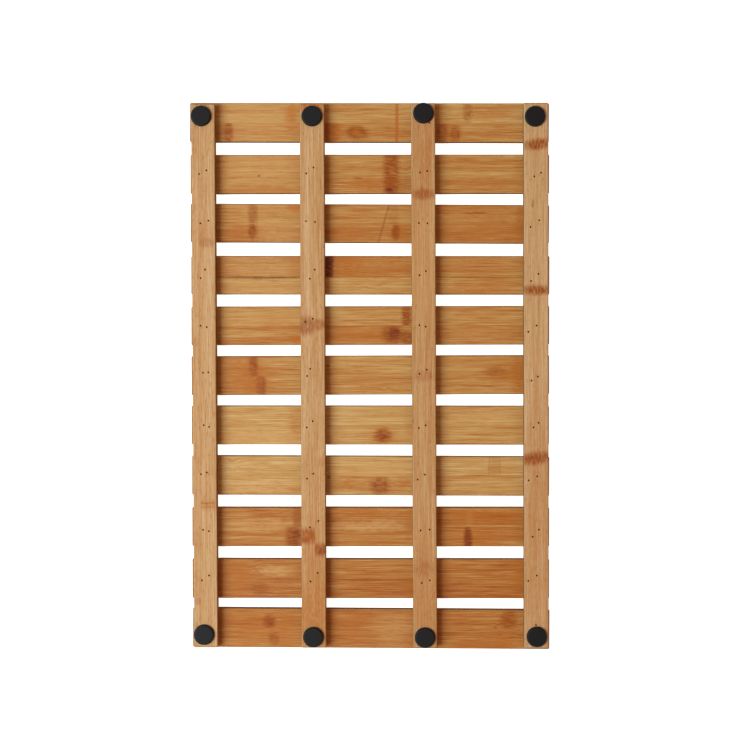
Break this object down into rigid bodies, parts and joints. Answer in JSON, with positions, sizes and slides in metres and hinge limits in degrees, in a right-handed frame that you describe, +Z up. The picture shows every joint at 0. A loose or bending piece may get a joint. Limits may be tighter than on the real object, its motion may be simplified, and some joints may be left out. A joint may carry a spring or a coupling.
{
  "type": "bamboo mat",
  "caption": "Flat slatted bamboo bath mat, shown from underneath: spaced slats fixed across lengthwise rails, with round rubber feet on the rail ends.",
  "frame": {"origin": "middle of the mat's footprint, on the surface that its walking face lies on", "axes": "+X along the slats, +Y along the rails, +Z up through the thickness; the underside with its rails and feet looks up, and in use the mat is turned over to stand on its feet"},
  "size_m": [0.4024, 0.6128, 0.0236],
  "materials": {
    "slat_bamboo": "flat-pressed carbonised bamboo, planed and thinly oiled, satin",
    "rail_bamboo": "side-pressed bamboo, planed, satin",
    "foot_rubber": "moulded, matt black",
    "brad_steel": "dark, dull"
  },
  "bodies": {
    "root": {"slat_1": "slat_bamboo", "slat_2": "slat_bamboo", "slat_3": "slat_bamboo", "slat_4": "slat_bamboo", "slat_5": "slat_bamboo", "slat_6": "slat_bamboo", "slat_7": "slat_bamboo", "slat_8": "slat_bamboo", "slat_9": "slat_bamboo", "slat_10": "slat_bamboo", "slat_11": "slat_bamboo", "rail_1": "rail_bamboo", "rail_2": "rail_bamboo", "rail_3": "rail_bamboo", "rail_4": "rail_bamboo", "foot_far_1": "foot_rubber", "foot_far_2": "foot_rubber", "foot_far_3": "foot_rubber", "foot_far_4": "foot_rubber", "foot_near_1": "foot_rubber", "foot_near_2": "foot_rubber", "foot_near_3": "foot_rubber", "foot_near_4": "foot_rubber"}
  },
  "joints": []
}
